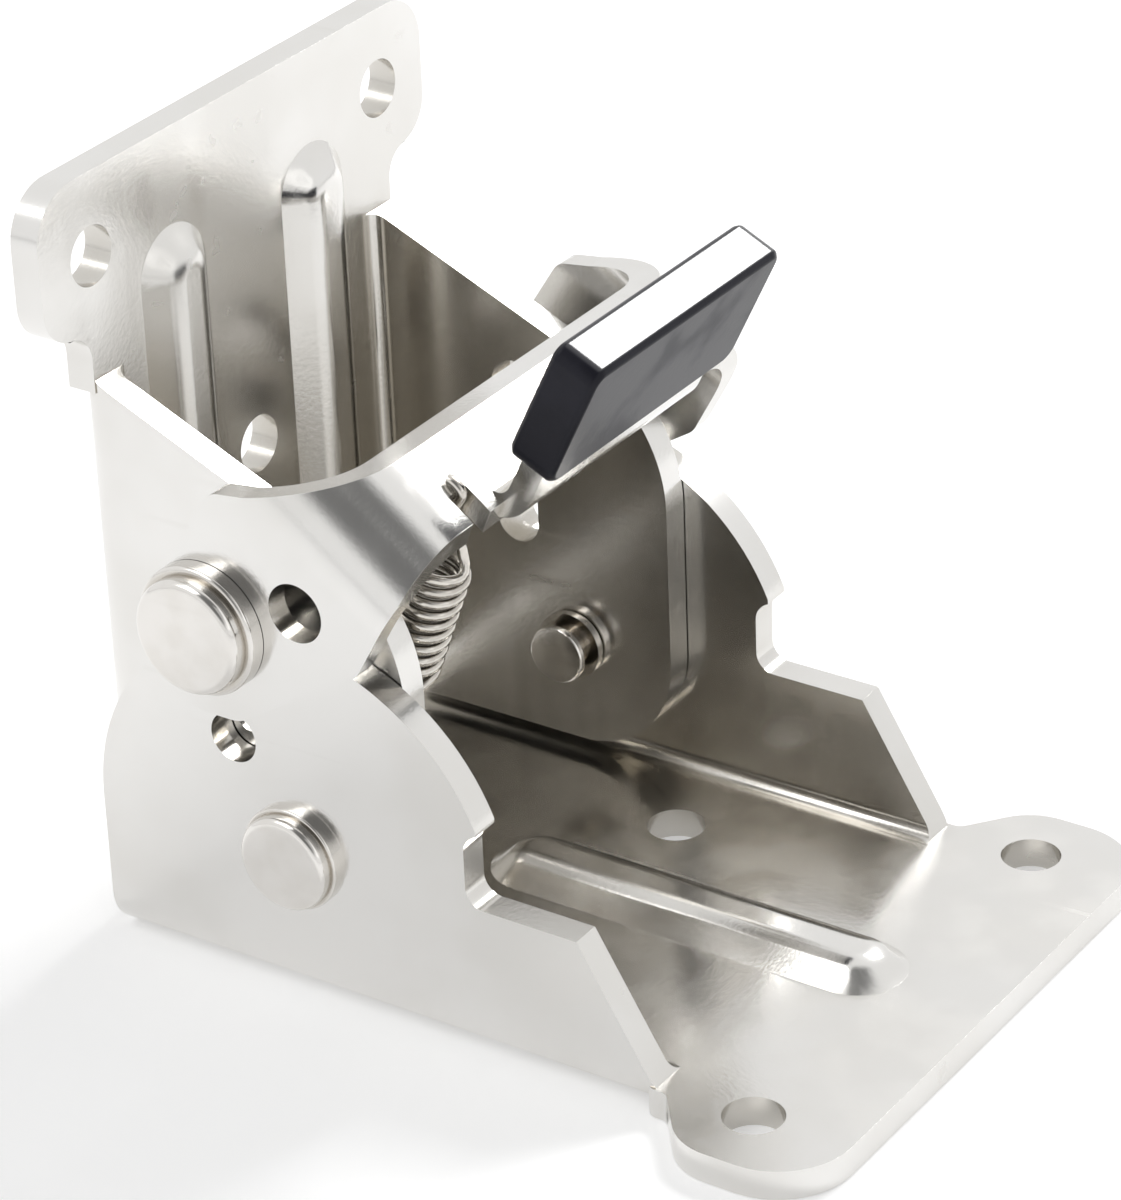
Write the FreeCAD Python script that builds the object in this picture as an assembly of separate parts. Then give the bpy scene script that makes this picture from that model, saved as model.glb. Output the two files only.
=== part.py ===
import FreeCAD, Part
import math
import os

from FreeCAD import Vector

# Folding table leg bracket, in millimetres.
# The origin is the middle of the table bracket's two ear screws, on its underside.
# +Z is up, +Y runs across, and +X points away from the leg bracket's plate.
# Profiles in the side view are measured from the main pivot: u forward, v up.

# Sheet metal
SHEET = 2.5
LEVER_SHEET = 2.0
BEND_INNER = 1.2
SIDE_GAP = 0.1
ARM_GAP = 0.15

# Main pivot
PIVOT_Z = 12.8
PIVOT_SHANK_R = 2.0
PIVOT_HEAD_R = 4.3
PIVOT_HEAD_H = 1.9
PIVOT_COLLAR_R = 2.9
PIVOT_COLLAR_H = 0.8
PIVOT_GROOVE_R = 1.7
PIVOT_GROOVE_H = 1.3
PIVOT_CAP_R = 2.5
PIVOT_CAP_H = 0.7
RUNNING_CLEARANCE = 0.05

# Table bracket: side walls
TABLE_HALF_WIDTH = 21.9
ARC_R = 18.5
STEP_V = 0.5
STEP_END_U = 25.7
FOOT_U = 31.2
FOOT_V = -8.6
WALL_CORNER_R = 1.6

# Table bracket: plate
PLATE_END_U = 48.4
EAR_HALF_WIDTH = 27.0
EAR_START_U = 33.2
EAR_FULL_U = 37.2
EAR_CORNER_R = 6.2
NECK_FILLET_R = 1.1
SCREW_HOLE_R = 2.4
TABLE_EAR_HOLE_U = 40.2
TABLE_EAR_HOLE_Y = 21.0
TABLE_INNER_HOLE_U = 13.4
TABLE_INNER_HOLE_Y = 10.7
TABLE_RIB_START_U = 3.4
TABLE_RIB_END_U = 40.6
RIB_BASE_HALF = 4.0
RIB_CREST_HALF = 1.7
RIB_HEIGHT = 1.9

# Leg bracket: plate
LEG_FACE_U = -20.5
LEG_TOP_V = 51.2
LEG_EAR_BOTTOM_V = 38.8
LEG_EAR_HALF_WIDTH = 24.3
LEG_NECK_HALF_WIDTH = 19.2
LEG_EAR_CORNER_R = 4.2
LEG_NECK_FILLET_R = 2.4
LEG_EAR_HOLE_V = 44.6
LEG_EAR_HOLE_Y = 18.3
LEG_CENTRE_HOLE_V = 21.0
LEG_RIB_Y = 8.9
LEG_RIB_TOP_V = 43.4
LEG_RIB_BOTTOM_V = 6.0

# Leg bracket: side walls
LEG_WALL_REAR_TOP_V = 34.6
LEG_WALL_SLOPE_DEG = 23.7
LEG_WALL_FRONT_U = 9.3
LEG_WALL_FRONT_R = 13.0
LEG_LOWER_R = 9.0

# Lock: the pins run in the leg bracket's slots and drop into the table bracket's notches
PIN_R = 1.75
SLOT_CLEARANCE = 0.2
RIDE_CLEARANCE = 0.1
SLOT_U = -5.1
SLOT_TOP_V = 22.3
SLOT_BOTTOM_V = 9.9
LOCK_DROP = 2.0
SEAT_END_V = 7.25
TOOL_HOLE_V = 8.9
TOOL_HOLE_R = 2.1
LOCK_FLANGE_R = 5.3
LOCK_FLANGE_H = 1.4
LOCK_HEAD_R = 4.7
LOCK_HEAD_H = 1.4
LOCK_TAIL_R = 3.0
LOCK_TAIL_H = 1.2

# Lever, measured at the locked position
ARM_END_U = -5.2
ARM_END_V = 15.4
ARM_END_R = 5.4
ARM_HOLE_U = 3.3
ARM_HOLE_V = 20.9
ARM_HOLE_R = 2.4
WEB_SLOPE_DEG = 36.9
WEB_REAR_U = 8.0
WEB_REAR_V = 31.4
WEB_FRONT_U = 13.6
WEB_BEND_OUTER = 7.0
ARM_REACH = 36.0
TAB_HALF_WIDTH = 11.6
TAB_LEAN_DEG = 64.0
TAB_BEND_INNER = 1.2
HOOK_SLOT_HALF = 1.1
HOOK_SLOT_DEPTH = 2.6

# Grip
GRIP_HALF_WIDTH = 12.7
GRIP_THICK = 4.1
GRIP_LENGTH = 11.4
GRIP_START = 4.3
GRIP_EDGE_R = 0.4
GRIP_CORNER_R = 1.6
GRIP_COVER = 1.5
FIT_CLEARANCE = 0.03

# Spring
SPRING_WALL_GAP = 1.2
SPRING_WIRE_R = 0.4
SPRING_COIL_R = 2.0
SPRING_TURNS = 9
SPRING_COIL_START = 13.0
SPRING_COIL_LENGTH = 10.0
SPRING_STEPS = 12
SPRING_SIDES = 6
HOOK_R = 0.9
MITRED = 1
HOOK_GAP = 0.15

# Worked out
PIVOT_X = -TABLE_EAR_HOLE_U
LEG_FACE_X = PIVOT_X + LEG_FACE_U
TABLE_INNER = TABLE_HALF_WIDTH - SHEET
LEG_OUTER = TABLE_INNER - SIDE_GAP
LEG_INNER = LEG_OUTER - SHEET
SPRING_Y = SPRING_WALL_GAP + SPRING_COIL_R + SPRING_WIRE_R - LEG_INNER
HOOK_SLOT_Y = SPRING_Y - SPRING_WALL_GAP
ARM_INNER = TABLE_HALF_WIDTH + ARM_GAP
ARM_OUTER = ARM_INNER + LEVER_SHEET
BASE_V = -PIVOT_Z
PLATE_TOP_V = BASE_V + SHEET
SLOT_HALF = PIN_R + SLOT_CLEARANCE
PIN_RIDE_R = ARC_R + PIN_R + RIDE_CLEARANCE
PIN_V = math.sqrt(PIN_RIDE_R ** 2 - SLOT_U ** 2)
PIN_LOCK_V = PIN_V - LOCK_DROP
NOTCH_BOTTOM_V = PIN_LOCK_V - PIN_R - RIDE_CLEARANCE
SEAT_U = PIN_LOCK_V - PIN_R - RIDE_CLEARANCE
SEAT_V = -SLOT_U
Y_AXIS = Vector(0, 1, 0)


def at(u, v, y=0.0):
    """Point given forward (u) and up (v) of the main pivot."""
    return Vector(PIVOT_X + u, y, PIVOT_Z + v)


def rounded_wire(corners):
    """Closed wire through (point, radius) corners, with a tangent arc at each radius above zero."""
    starts = []
    ends = []
    mids = []
    count = len(corners)
    for i in range(count):
        point, radius = corners[i]
        before = corners[i - 1][0]
        after = corners[(i + 1) % count][0]
        if radius <= 0:
            starts.append(point)
            ends.append(point)
            mids.append(None)
            continue
        to_before = (before - point).normalize()
        to_after = (after - point).normalize()
        half = to_before.getAngle(to_after) / 2
        reach = radius / math.tan(half)
        bisector = (to_before + to_after).normalize()
        starts.append(point + to_before * reach)
        ends.append(point + to_after * reach)
        mids.append(point + bisector * (radius / math.sin(half) - radius))
    edges = []
    for i in range(count):
        if mids[i] is not None:
            edges.append(Part.Arc(starts[i], mids[i], ends[i]).toShape())
        following = starts[(i + 1) % count]
        if (following - ends[i]).Length > 1e-6:
            edges.append(Part.LineSegment(ends[i], following).toShape())
    return Part.Wire(edges)


def side_prism(corners, y_from, y_to):
    """Side-view outline of (u, v, radius) corners, extruded across from y_from to y_to."""
    wire = rounded_wire([(at(u, v, y_from), radius) for u, v, radius in corners])
    return Part.Face(wire).extrude(Vector(0, y_to - y_from, 0))


def cross_cylinder(radius, u, v, y_from, y_to):
    """Cylinder across the bracket between two y values."""
    return Part.makeCylinder(radius, y_to - y_from, at(u, v, y_from), Y_AXIS)


def cross_slot(half, u, v_low, v_high, reach):
    """Upright slot cut right across, with round ends centred on v_low and v_high."""
    low = cross_cylinder(half, u, v_low, -reach, reach)
    high = cross_cylinder(half, u, v_high, -reach, reach)
    middle = Part.makeBox(2 * half, 2 * reach, v_high - v_low, at(u - half, v_low, -reach))
    return low.fuse([high, middle])


def channel_section(half_width, sheet, height, outer_r):
    """Channel section in local coordinates (across, up): the web lies on up = 0, the legs rise."""
    inner_r = outer_r - sheet
    outer = [
        (Vector(-half_width, height, 0), 0),
        (Vector(-half_width, 0, 0), outer_r),
        (Vector(half_width, 0, 0), outer_r),
        (Vector(half_width, height, 0), 0),
        (Vector(half_width - sheet, height, 0), 0),
        (Vector(half_width - sheet, sheet, 0), inner_r),
        (Vector(sheet - half_width, sheet, 0), inner_r),
        (Vector(sheet - half_width, height, 0), 0),
    ]
    return Part.Face(rounded_wire(outer))


def placed(shape, origin, x_dir, y_dir):
    """Moves a shape drawn in local x and y onto the given directions at origin."""
    z_dir = x_dir.cross(y_dir)
    matrix = FreeCAD.Matrix(
        x_dir.x, y_dir.x, z_dir.x, origin.x,
        x_dir.y, y_dir.y, z_dir.y, origin.y,
        x_dir.z, y_dir.z, z_dir.z, origin.z,
        0, 0, 0, 1)
    moved = shape.copy()
    moved.Placement = FreeCAD.Placement(matrix)
    return moved


def stadium(half_width, half_length, height):
    """Closed wire of a long round-ended shape, along local x, at a local height."""
    straight = half_length - half_width
    a = Vector(-straight, -half_width, height)
    b = Vector(straight, -half_width, height)
    c = Vector(straight, half_width, height)
    d = Vector(-straight, half_width, height)
    right = Vector(half_length, 0, height)
    left = Vector(-half_length, 0, height)
    return Part.Wire([
        Part.LineSegment(a, b).toShape(),
        Part.Arc(b, right, c).toShape(),
        Part.LineSegment(c, d).toShape(),
        Part.Arc(d, left, a).toShape(),
    ])


def rib_body(half_base, half_crest, half_length, low, high):
    """Tapered rib between two local heights."""
    shrink = half_base - half_crest
    base = stadium(half_base, half_length, low)
    crest = stadium(half_crest, half_length - shrink, high)
    return Part.makeLoft([base, crest], True, True)


def rib_pair(half_length):
    """Pressed rib: the raised outside and the hollow it leaves beneath, drawn on local z = 0."""
    raised = rib_body(RIB_BASE_HALF, RIB_CREST_HALF, half_length, SHEET, SHEET + RIB_HEIGHT)
    inset = SHEET * 0.42
    hollow = rib_body(RIB_BASE_HALF - inset, RIB_CREST_HALF * 0.6, half_length - inset, 0, RIB_HEIGHT)
    return raised, hollow


def table_wall_outline():
    """Side view of the table bracket: round top, seat for the folded pins, step and sloping foot."""
    arc_start = at(-ARC_R, 0)
    arc_top = at(0, ARC_R)
    end_angle = math.asin(SEAT_END_V / ARC_R)
    arc_end = at(ARC_R * math.cos(end_angle), SEAT_END_V)
    seat_r = PIN_R + RIDE_CLEARANCE
    seat_centre_u = SEAT_U + seat_r
    lip_u = ARC_R * math.cos(end_angle)
    lip_angle = math.acos((seat_centre_u - lip_u) / seat_r)
    lip = at(lip_u, SEAT_V + seat_r * math.sin(lip_angle))
    seat_mid = at(seat_centre_u - seat_r * math.cos(lip_angle / 2), SEAT_V + seat_r * math.sin(lip_angle / 2))
    seat_side = at(SEAT_U, SEAT_V)
    corner_r = WALL_CORNER_R
    drop = at(SEAT_U, STEP_V + corner_r)
    drop_mid = at(SEAT_U + corner_r * (1 - math.sqrt(0.5)), STEP_V + corner_r * (1 - math.sqrt(0.5)))
    step_start = at(SEAT_U + corner_r, STEP_V)
    slope = (FOOT_U - STEP_END_U) / (STEP_V - FOOT_V)
    end_u = STEP_END_U + slope * (STEP_V - BASE_V)
    return [
        Part.LineSegment(at(-ARC_R, BASE_V), arc_start).toShape(),
        Part.Arc(arc_start, arc_top, arc_end).toShape(),
        Part.LineSegment(arc_end, lip).toShape(),
        Part.Arc(lip, seat_mid, seat_side).toShape(),
        Part.LineSegment(seat_side, drop).toShape(),
        Part.Arc(drop, drop_mid, step_start).toShape(),
        Part.LineSegment(step_start, at(STEP_END_U, STEP_V)).toShape(),
        Part.LineSegment(at(STEP_END_U, STEP_V), at(end_u, BASE_V)).toShape(),
        Part.LineSegment(at(end_u, BASE_V), at(-ARC_R, BASE_V)).toShape(),
    ]


def table_plate():
    """Flat plate ahead of the walls, flaring into two ears, with the floor between the walls."""
    bend_outer = SHEET + BEND_INNER
    floor_half = TABLE_HALF_WIDTH - bend_outer
    wall = TABLE_HALF_WIDTH
    ear = EAR_HALF_WIDTH
    right = [
        (-ARC_R, floor_half, 0), (FOOT_U, floor_half, 0), (FOOT_U, wall, 1.0), (EAR_START_U, wall, NECK_FILLET_R),
        (EAR_FULL_U, ear, EAR_CORNER_R - 1.2), (PLATE_END_U, ear, EAR_CORNER_R),
    ]
    left = [(u, -y, radius) for u, y, radius in reversed(right)]
    points = [(Vector(PIVOT_X + u, y, 0), radius) for u, y, radius in right + left]
    return Part.Face(rounded_wire(points)).extrude(Vector(0, 0, SHEET))


def lock_notch():
    """Notch at the top of each table bracket wall, where the pins rest when the leg is open."""
    floor = cross_cylinder(SLOT_HALF, SLOT_U, NOTCH_BOTTOM_V + SLOT_HALF, -EAR_HALF_WIDTH, EAR_HALF_WIDTH)
    mouth = side_prism([
        (SLOT_U - SLOT_HALF, NOTCH_BOTTOM_V + SLOT_HALF, 0), (SLOT_U + SLOT_HALF, NOTCH_BOTTOM_V + SLOT_HALF, 0),
        (SLOT_U + SLOT_HALF, ARC_R + 1, 0), (SLOT_U - SLOT_HALF, ARC_R + 1, 0)], -EAR_HALF_WIDTH, EAR_HALF_WIDTH)
    return floor.fuse(mouth)


def screw_hole_z(u, y):
    """Screw hole through the table bracket's plate."""
    return Part.makeCylinder(SCREW_HOLE_R, SHEET * 4, Vector(PIVOT_X + u, y, -SHEET))


def screw_hole_x(y, v):
    """Screw hole through the leg bracket's plate."""
    return Part.makeCylinder(SCREW_HOLE_R, SHEET * 4, Vector(LEG_FACE_X - SHEET, y, PIVOT_Z + v), Vector(1, 0, 0))


def table_bracket():
    """Folded sheet that screws under the table top."""
    height = PIVOT_Z + ARC_R + 2
    section = channel_section(TABLE_HALF_WIDTH, SHEET, height, SHEET + BEND_INNER)
    section = placed(section, Vector(PIVOT_X - ARC_R, 0, 0), Y_AXIS, Vector(0, 0, 1))
    channel = section.extrude(Vector(ARC_R + PLATE_END_U, 0, 0))
    outline = Part.Face(Part.Wire(table_wall_outline()))
    outline.translate(Vector(0, -TABLE_HALF_WIDTH - 1, 0))
    body = channel.common(outline.extrude(Vector(0, 2 * TABLE_HALF_WIDTH + 2, 0)))
    body = body.fuse(table_plate()).removeSplitter()
    half_length = (TABLE_RIB_END_U - TABLE_RIB_START_U) / 2
    raised, hollow = rib_pair(half_length)
    centre = Vector(PIVOT_X + TABLE_RIB_START_U + half_length, 0, 0)
    raised.translate(centre)
    hollow.translate(centre)
    body = body.fuse(raised).cut(hollow)
    cuts = [lock_notch()]
    cuts.append(cross_cylinder(PIVOT_SHANK_R, 0, 0, -EAR_HALF_WIDTH, EAR_HALF_WIDTH))
    cuts.append(cross_cylinder(TOOL_HOLE_R, SLOT_U, TOOL_HOLE_V, -EAR_HALF_WIDTH, EAR_HALF_WIDTH))
    for side in (-1, 1):
        cuts.append(screw_hole_z(TABLE_EAR_HOLE_U, side * TABLE_EAR_HOLE_Y))
        cuts.append(screw_hole_z(TABLE_INNER_HOLE_U, side * TABLE_INNER_HOLE_Y))
    return body.cut(cuts)


def leg_wall_outline():
    """Side view of the leg bracket's walls: sloping top, round front and a lower corner about the pivot."""
    slope = math.tan(math.radians(LEG_WALL_SLOPE_DEG))
    front_v = LEG_WALL_REAR_TOP_V - slope * (LEG_WALL_FRONT_U - LEG_FACE_U - SHEET)
    return [
        (LEG_FACE_U - 1, LEG_WALL_REAR_TOP_V + slope * (SHEET + 1), 0),
        (LEG_WALL_FRONT_U, front_v, LEG_WALL_FRONT_R),
        (LEG_WALL_FRONT_U, -LEG_LOWER_R, LEG_LOWER_R),
        (LEG_FACE_U - 1, -LEG_LOWER_R, 0),
    ]


def leg_plate():
    """Upright plate with two ears at its top."""
    low_v = -LEG_LOWER_R
    half_low = LEG_OUTER - SHEET - BEND_INNER
    ear_v = LEG_EAR_BOTTOM_V
    wide = LEG_EAR_HALF_WIDTH
    neck = LEG_NECK_HALF_WIDTH
    wall_top = LEG_WALL_REAR_TOP_V - 1
    right = [
        (half_low, low_v, 0), (half_low, wall_top, 0), (neck, wall_top, 0), (neck, ear_v, LEG_NECK_FILLET_R),
        (wide, ear_v, LEG_EAR_CORNER_R - 0.8), (wide, LEG_TOP_V, LEG_EAR_CORNER_R),
    ]
    left = [(-y, v, radius) for y, v, radius in reversed(right)]
    points = [(Vector(LEG_FACE_X, y, PIVOT_Z + v), radius) for y, v, radius in right + left]
    return Part.Face(rounded_wire(points)).extrude(Vector(SHEET, 0, 0))


def leg_bracket():
    """Folded sheet that screws to the leg."""
    depth = LEG_WALL_FRONT_U - LEG_FACE_U + 1
    section = channel_section(LEG_OUTER, SHEET, depth, SHEET + BEND_INNER)
    section = placed(section, Vector(LEG_FACE_X, 0, PIVOT_Z - LEG_LOWER_R), Vector(0, -1, 0), Vector(1, 0, 0))
    channel = section.extrude(Vector(0, 0, LEG_LOWER_R + LEG_TOP_V))
    body = channel.common(side_prism(leg_wall_outline(), -LEG_OUTER - 1, LEG_OUTER + 1))
    body = body.fuse(leg_plate()).removeSplitter()
    half_length = (LEG_RIB_TOP_V - LEG_RIB_BOTTOM_V) / 2
    middle_z = PIVOT_Z + LEG_RIB_BOTTOM_V + half_length
    for side in (-1, 1):
        raised, hollow = rib_pair(half_length)
        spot = Vector(LEG_FACE_X, side * LEG_RIB_Y, middle_z)
        raised = placed(raised, spot, Vector(0, 0, 1), Vector(0, 1, 0) * -1)
        hollow = placed(hollow, spot, Vector(0, 0, 1), Vector(0, 1, 0) * -1)
        body = body.fuse(raised).cut(hollow)
    cuts = [cross_slot(SLOT_HALF, SLOT_U, SLOT_BOTTOM_V, SLOT_TOP_V, LEG_OUTER + 1)]
    cuts.append(cross_cylinder(PIVOT_SHANK_R + RUNNING_CLEARANCE, 0, 0, -LEG_OUTER - 1, LEG_OUTER + 1))
    cuts.append(screw_hole_x(0, LEG_CENTRE_HOLE_V))
    for side in (-1, 1):
        cuts.append(screw_hole_x(side * LEG_EAR_HOLE_Y, LEG_EAR_HOLE_V))
    return body.cut(cuts)


def turned(profile, side):
    """Solid of revolution about the y axis of local (radius, y) points, mirrored to the given side."""
    points = [Vector(radius, side * y, 0) for radius, y in profile]
    wire = Part.makePolygon(points + [points[0]])
    return Part.Face(wire).revolve(Vector(0, 0, 0), Y_AXIS, 360)


def pivot_rivet(side):
    """Short rivet that joins a table bracket wall to a leg bracket wall, with a groove for the spring."""
    face = TABLE_HALF_WIDTH
    chamfer = 0.4
    collar = LEG_INNER - SIDE_GAP
    groove = collar - PIVOT_COLLAR_H
    cap = groove - PIVOT_GROOVE_H
    end = cap - PIVOT_CAP_H
    profile = [
        (0, face + PIVOT_HEAD_H), (PIVOT_HEAD_R - chamfer, face + PIVOT_HEAD_H),
        (PIVOT_HEAD_R, face + PIVOT_HEAD_H - chamfer), (PIVOT_HEAD_R, face), (PIVOT_SHANK_R, face),
        (PIVOT_SHANK_R, collar), (PIVOT_COLLAR_R, collar), (PIVOT_COLLAR_R, groove), (PIVOT_GROOVE_R, groove),
        (PIVOT_GROOVE_R, cap), (PIVOT_CAP_R, cap), (PIVOT_CAP_R, end + 0.3), (PIVOT_CAP_R - 0.3, end), (0, end),
    ]
    rivet = turned(profile, side)
    rivet.translate(at(0, 0))
    return rivet


def lock_rivet(side):
    """Large rivet of the lever: its shank is the lock pin."""
    face = ARM_OUTER + RUNNING_CLEARANCE
    edge = 0.4
    top = face + LOCK_FLANGE_H + LOCK_HEAD_H
    tail = LEG_INNER - SIDE_GAP
    profile = [
        (0, top), (LOCK_HEAD_R - edge, top), (LOCK_HEAD_R, top - edge), (LOCK_HEAD_R, face + LOCK_FLANGE_H),
        (LOCK_FLANGE_R - edge, face + LOCK_FLANGE_H), (LOCK_FLANGE_R, face + LOCK_FLANGE_H - edge),
        (LOCK_FLANGE_R, face), (PIN_R, face), (PIN_R, tail), (LOCK_TAIL_R, tail),
        (LOCK_TAIL_R, tail - LOCK_TAIL_H + edge), (LOCK_TAIL_R - edge, tail - LOCK_TAIL_H), (0, tail - LOCK_TAIL_H),
    ]
    rivet = turned(profile, side)
    rivet.translate(at(SLOT_U, PIN_V))
    return rivet


def lever_outline():
    """Side view of the lever's arms, at the locked position."""
    end_low = ARM_END_V - ARM_END_R
    return [
        (ARM_END_U - ARM_END_R, end_low, ARM_END_R * 0.98), (-2.6, end_low, 3.0), (8.6, 17.0, 2.0),
        (12.1, 23.3, 2.0), (WEB_FRONT_U, 27.0, 0), (WEB_FRONT_U + 2, 34.0, 0),
        (WEB_REAR_U + 2, 36.0, 0), (WEB_REAR_U, WEB_REAR_V, 0), (-0.8, 29.4, 2.0), (-3.9, 29.0, 1.6),
        (ARM_END_U - ARM_END_R, 18.6, 3.0),
    ]


def lever_channel():
    """Channel whose web slopes down to the front, before the arms are cut to their outline."""
    slope = math.radians(WEB_SLOPE_DEG)
    along = Vector(math.cos(slope), 0, -math.sin(slope))
    outward = Vector(math.sin(slope), 0, math.cos(slope))
    section = channel_section(ARM_OUTER, LEVER_SHEET, ARM_REACH, WEB_BEND_OUTER)
    start = at(WEB_REAR_U, WEB_REAR_V) - along * ARM_REACH
    section = placed(section, start, Y_AXIS, outward * -1)
    return section.extrude(along * 2 * ARM_REACH)


def tab_frame():
    """Base point, direction up the tab and the tab's front normal, at the locked position."""
    lean = math.radians(TAB_LEAN_DEG)
    up = Vector(math.cos(lean), 0, math.sin(lean))
    front = Vector(math.sin(lean), 0, -math.cos(lean))
    slope = math.radians(WEB_SLOPE_DEG)
    drop = math.tan(slope) * (WEB_FRONT_U - WEB_REAR_U)
    base = at(WEB_FRONT_U, WEB_REAR_V - drop)
    return base, up, front


def tab():
    """Tab that rises from the web's front edge into the grip, with the bend between them."""
    base, up, front = tab_frame()
    slope = math.radians(WEB_SLOPE_DEG)
    along = Vector(math.cos(slope), 0, -math.sin(slope))
    below = Vector(-math.sin(slope), 0, -math.cos(slope))
    top = base + up * (GRIP_START + GRIP_LENGTH - GRIP_COVER)
    turn = along.getAngle(up)
    reach = TAB_BEND_INNER * math.tan(turn / 2)
    elbow = LEVER_SHEET * math.tan(turn / 2)
    back = base - along * reach * 1.6
    corners = [
        (back, 0), (base, TAB_BEND_INNER), (top, 0), (top + front * LEVER_SHEET, 0),
        (base + along * elbow + below * LEVER_SHEET, TAB_BEND_INNER + LEVER_SHEET), (back + below * LEVER_SHEET, 0),
    ]
    shift = Vector(0, -TAB_HALF_WIDTH, 0)
    wire = rounded_wire([(point + shift, radius) for point, radius in corners])
    return Part.Face(wire).extrude(Vector(0, 2 * TAB_HALF_WIDTH, 0))


def hook_slot():
    """Slot in the web's front edge for the spring's upper hook."""
    base, up, front = tab_frame()
    reach = HOOK_SLOT_DEPTH
    run = WEB_BEND_OUTER
    box = Part.makeBox(reach + run, 2 * HOOK_SLOT_HALF, 2 * run, Vector(-reach, -HOOK_SLOT_HALF, -run))
    slope = math.radians(WEB_SLOPE_DEG)
    along = Vector(math.cos(slope), 0, -math.sin(slope))
    return placed(box, base + Vector(0, HOOK_SLOT_Y, 0), along, Y_AXIS)


def lock_lever():
    """Yoke of folded sheet: two arms, the web between them and the tab."""
    arms = lever_channel().common(side_prism(lever_outline(), -ARM_OUTER - 1, ARM_OUTER + 1))
    lever = arms.fuse(tab()).removeSplitter()
    lever = lever.cut([
        cross_cylinder(ARM_HOLE_R, ARM_HOLE_U, ARM_HOLE_V, -ARM_OUTER - 1, ARM_OUTER + 1),
        cross_cylinder(PIN_R + RUNNING_CLEARANCE, SLOT_U, PIN_LOCK_V, -ARM_OUTER - 1, ARM_OUTER + 1),
        hook_slot()])
    lever.translate(Vector(0, 0, LOCK_DROP))
    return lever


def lever_grip():
    """Plastic sleeve pushed over the tab."""
    base, up, front = tab_frame()
    half = GRIP_HALF_WIDTH
    outline = rounded_wire([
        (Vector(-half, 0, 0), GRIP_CORNER_R), (Vector(half, 0, 0), GRIP_CORNER_R),
        (Vector(half, GRIP_LENGTH, 0), GRIP_CORNER_R * 0.8), (Vector(-half, GRIP_LENGTH, 0), GRIP_CORNER_R * 0.8)])
    sleeve = Part.Face(outline).extrude(Vector(0, 0, GRIP_THICK))
    rim = [e for e in sleeve.Edges if abs(e.BoundBox.ZLength) < 1e-6]
    sleeve = sleeve.makeChamfer(GRIP_EDGE_R, rim)
    gap = FIT_CLEARANCE
    side = TAB_HALF_WIDTH + gap
    pocket_z = (GRIP_THICK - LEVER_SHEET) / 2 - gap
    pocket = Part.makeBox(2 * side, GRIP_LENGTH - GRIP_COVER + 1 + gap, LEVER_SHEET + 2 * gap, Vector(-side, -1, pocket_z))
    sleeve = sleeve.cut(pocket)
    across = up.cross(front)
    origin = base + up * GRIP_START - front * (GRIP_THICK - LEVER_SHEET) * 0.5
    sleeve = placed(sleeve, origin, across * -1, up) if across.y < 0 else placed(sleeve, origin, across, up)
    sleeve.translate(Vector(0, 0, LOCK_DROP))
    return sleeve


def spring_path():
    """Centre line of the spring's wire: ring round the pivot rivet, leg, coil, leg and upper hook."""
    base, up, front = tab_frame()
    slope = math.radians(WEB_SLOPE_DEG)
    along = Vector(math.cos(slope), 0, -math.sin(slope))
    outward = Vector(math.sin(slope), 0, math.cos(slope))
    edge = base - along * (HOOK_SLOT_DEPTH - SPRING_WIRE_R - HOOK_GAP) + Vector(0, HOOK_SLOT_Y, LOCK_DROP)
    pivot = at(0, 0)
    axis = (Vector(edge.x, 0, edge.z) - outward * LEVER_SHEET - pivot).normalize()
    forward = Vector(axis.z, 0, -axis.x)
    ring_y = PIVOT_COLLAR_H + PIVOT_GROOVE_H / 2 + SIDE_GAP - LEG_INNER
    ring_r = PIVOT_GROOVE_R + SPRING_WIRE_R + HOOK_GAP
    points = []
    for step in range(15):
        angle = math.radians(90 + 300 * (1 - step / 14))
        offset = axis * math.cos(angle) + forward * math.sin(angle)
        points.append(pivot + offset * ring_r + Vector(0, ring_y, 0))
    middle = (ring_y + SPRING_Y) / 2
    points.append(pivot + axis * 3 + forward * ring_r + Vector(0, ring_y, 0))
    points.append(pivot + axis * 7 + forward * SPRING_COIL_R + Vector(0, middle, 0))
    points.append(pivot + axis * (SPRING_COIL_START - 1.2) + forward * SPRING_COIL_R + Vector(0, SPRING_Y - 0.3, 0))
    count = SPRING_TURNS * SPRING_STEPS
    for step in range(1, count):
        angle = 2 * math.pi * step / SPRING_STEPS
        rise = SPRING_COIL_START + SPRING_COIL_LENGTH * step / count
        spot = pivot + axis * rise + forward * SPRING_COIL_R * math.cos(angle)
        points.append(spot + Vector(0, SPRING_Y + SPRING_COIL_R * math.sin(angle), 0))
    end = SPRING_COIL_START + SPRING_COIL_LENGTH
    points.append(pivot + axis * (end + 1.2) + forward * SPRING_COIL_R * 0.7 + Vector(0, SPRING_Y - 0.2, 0))
    points.append(edge - outward * (LEVER_SHEET + 0.4))
    points.append(edge - outward * LEVER_SHEET / 2)
    for degrees in (0, 45, 90, 130):
        angle = math.radians(degrees)
        back = HOOK_R * (1 - math.cos(angle))
        points.append(edge + outward * HOOK_R * math.sin(angle) - along * back)
    return points


def lever_spring():
    """Tension spring from the near pivot rivet to the lever's web, swept along its centre line."""
    points = spring_path()
    tangent = (points[1] - points[0]).normalize()
    across = tangent.cross(Y_AXIS).normalize()
    corners = []
    for side in range(SPRING_SIDES):
        angle = 2 * math.pi * side / SPRING_SIDES
        corners.append(points[0] + (across * math.cos(angle) + Y_AXIS * math.sin(angle)) * SPRING_WIRE_R)
    section = Part.makePolygon(corners + [corners[0]])
    return Part.makePolygon(points).makePipeShell([section], True, False, MITRED)


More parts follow.
